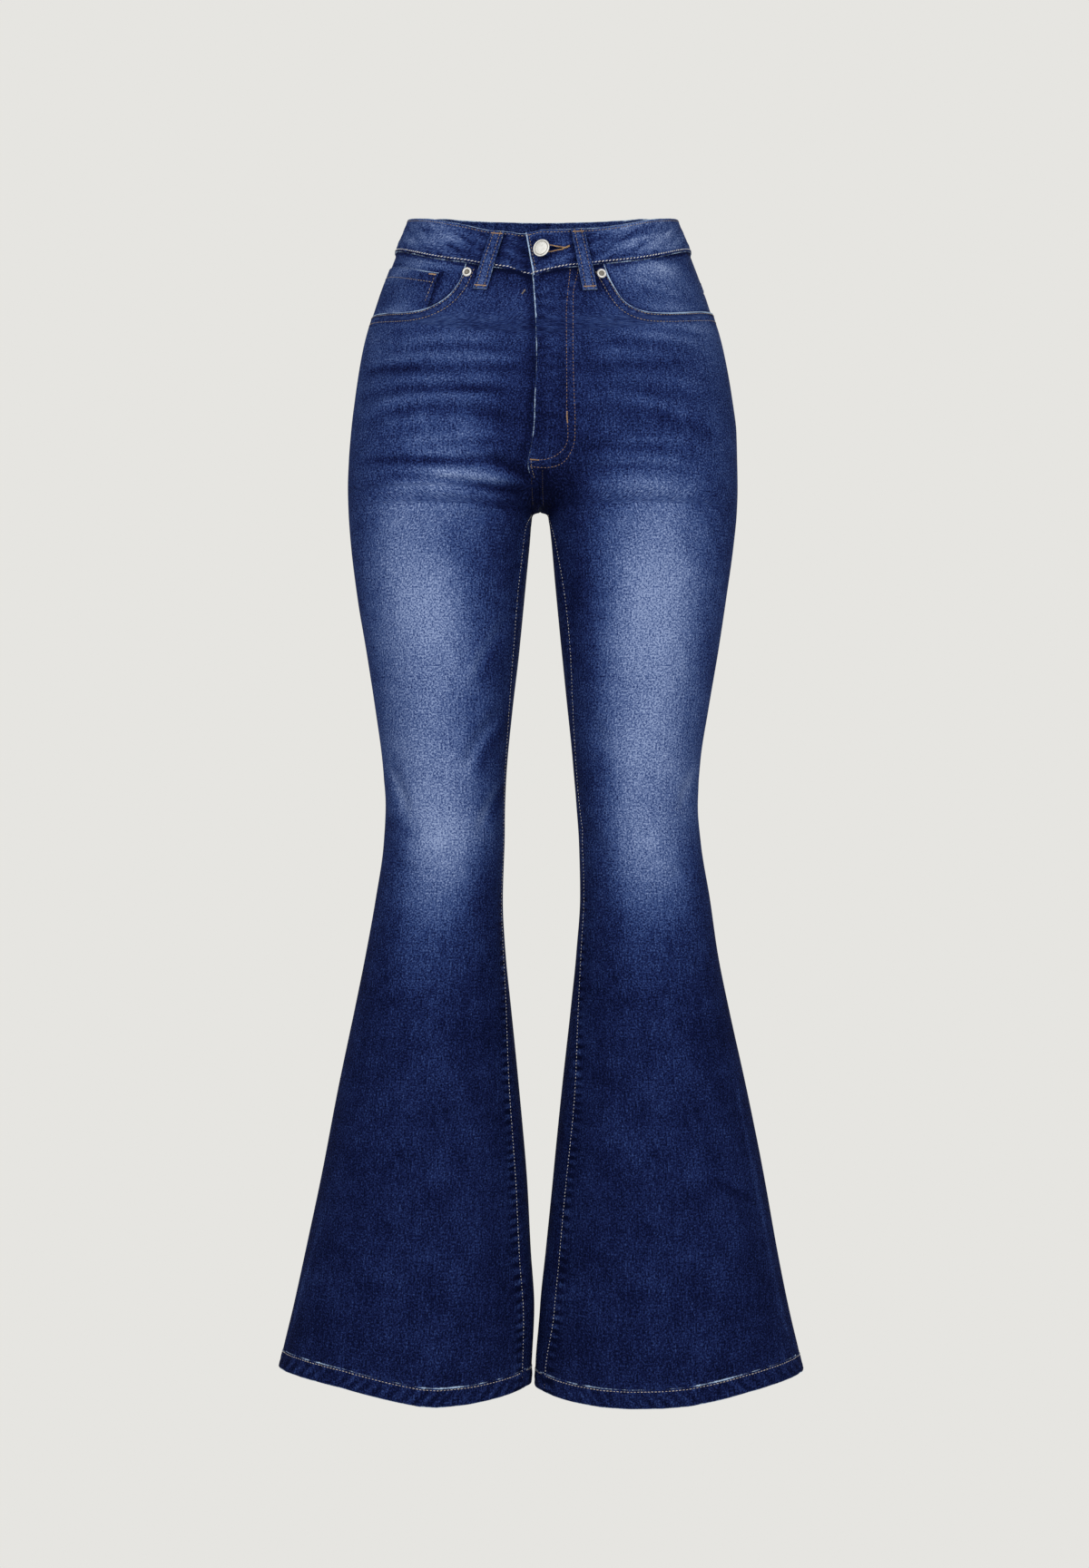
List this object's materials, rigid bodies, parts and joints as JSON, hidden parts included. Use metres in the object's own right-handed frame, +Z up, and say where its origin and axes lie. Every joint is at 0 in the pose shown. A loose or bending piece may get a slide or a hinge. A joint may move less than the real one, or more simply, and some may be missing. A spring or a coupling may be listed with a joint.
{
  "type": "flared jeans",
  "caption": "Flared blue denim jeans, filled out as worn, high-waisted, with scoop pockets, fly, button, rivets and belt loops.",
  "frame": {"origin": "centre of the waist opening, at the level of the waistband's top edge at the side seams", "axes": "+Z up out of the waist opening, the front faces -Y, +X is the wearer's left"},
  "size_m": [0.4847, 0.2398, 1.1019],
  "materials": {
    "denim": "matt twill, faded on the thighs and knees",
    "zip": "matt woven tape",
    "metal": "satin"
  },
  "bodies": {
    "root": {"front_left": "denim", "front_right": "denim", "back_left": "denim", "back_right": "denim", "yoke_left": "denim", "yoke_right": "denim", "waistband": "denim", "pocket_facing_left": "denim", "pocket_facing_right": "denim", "coin_pocket": "denim", "back_pocket_left": "denim", "back_pocket_right": "denim", "belt_loop_front_left": "denim", "belt_loop_front_right": "denim", "belt_loop_side_left": "denim", "belt_loop_side_right": "denim", "belt_loop_back": "denim", "zip_tape": "zip", "zip_slider": "metal", "button": "metal", "rivet_left": "metal", "rivet_right": "metal"}
  },
  "joints": []
}
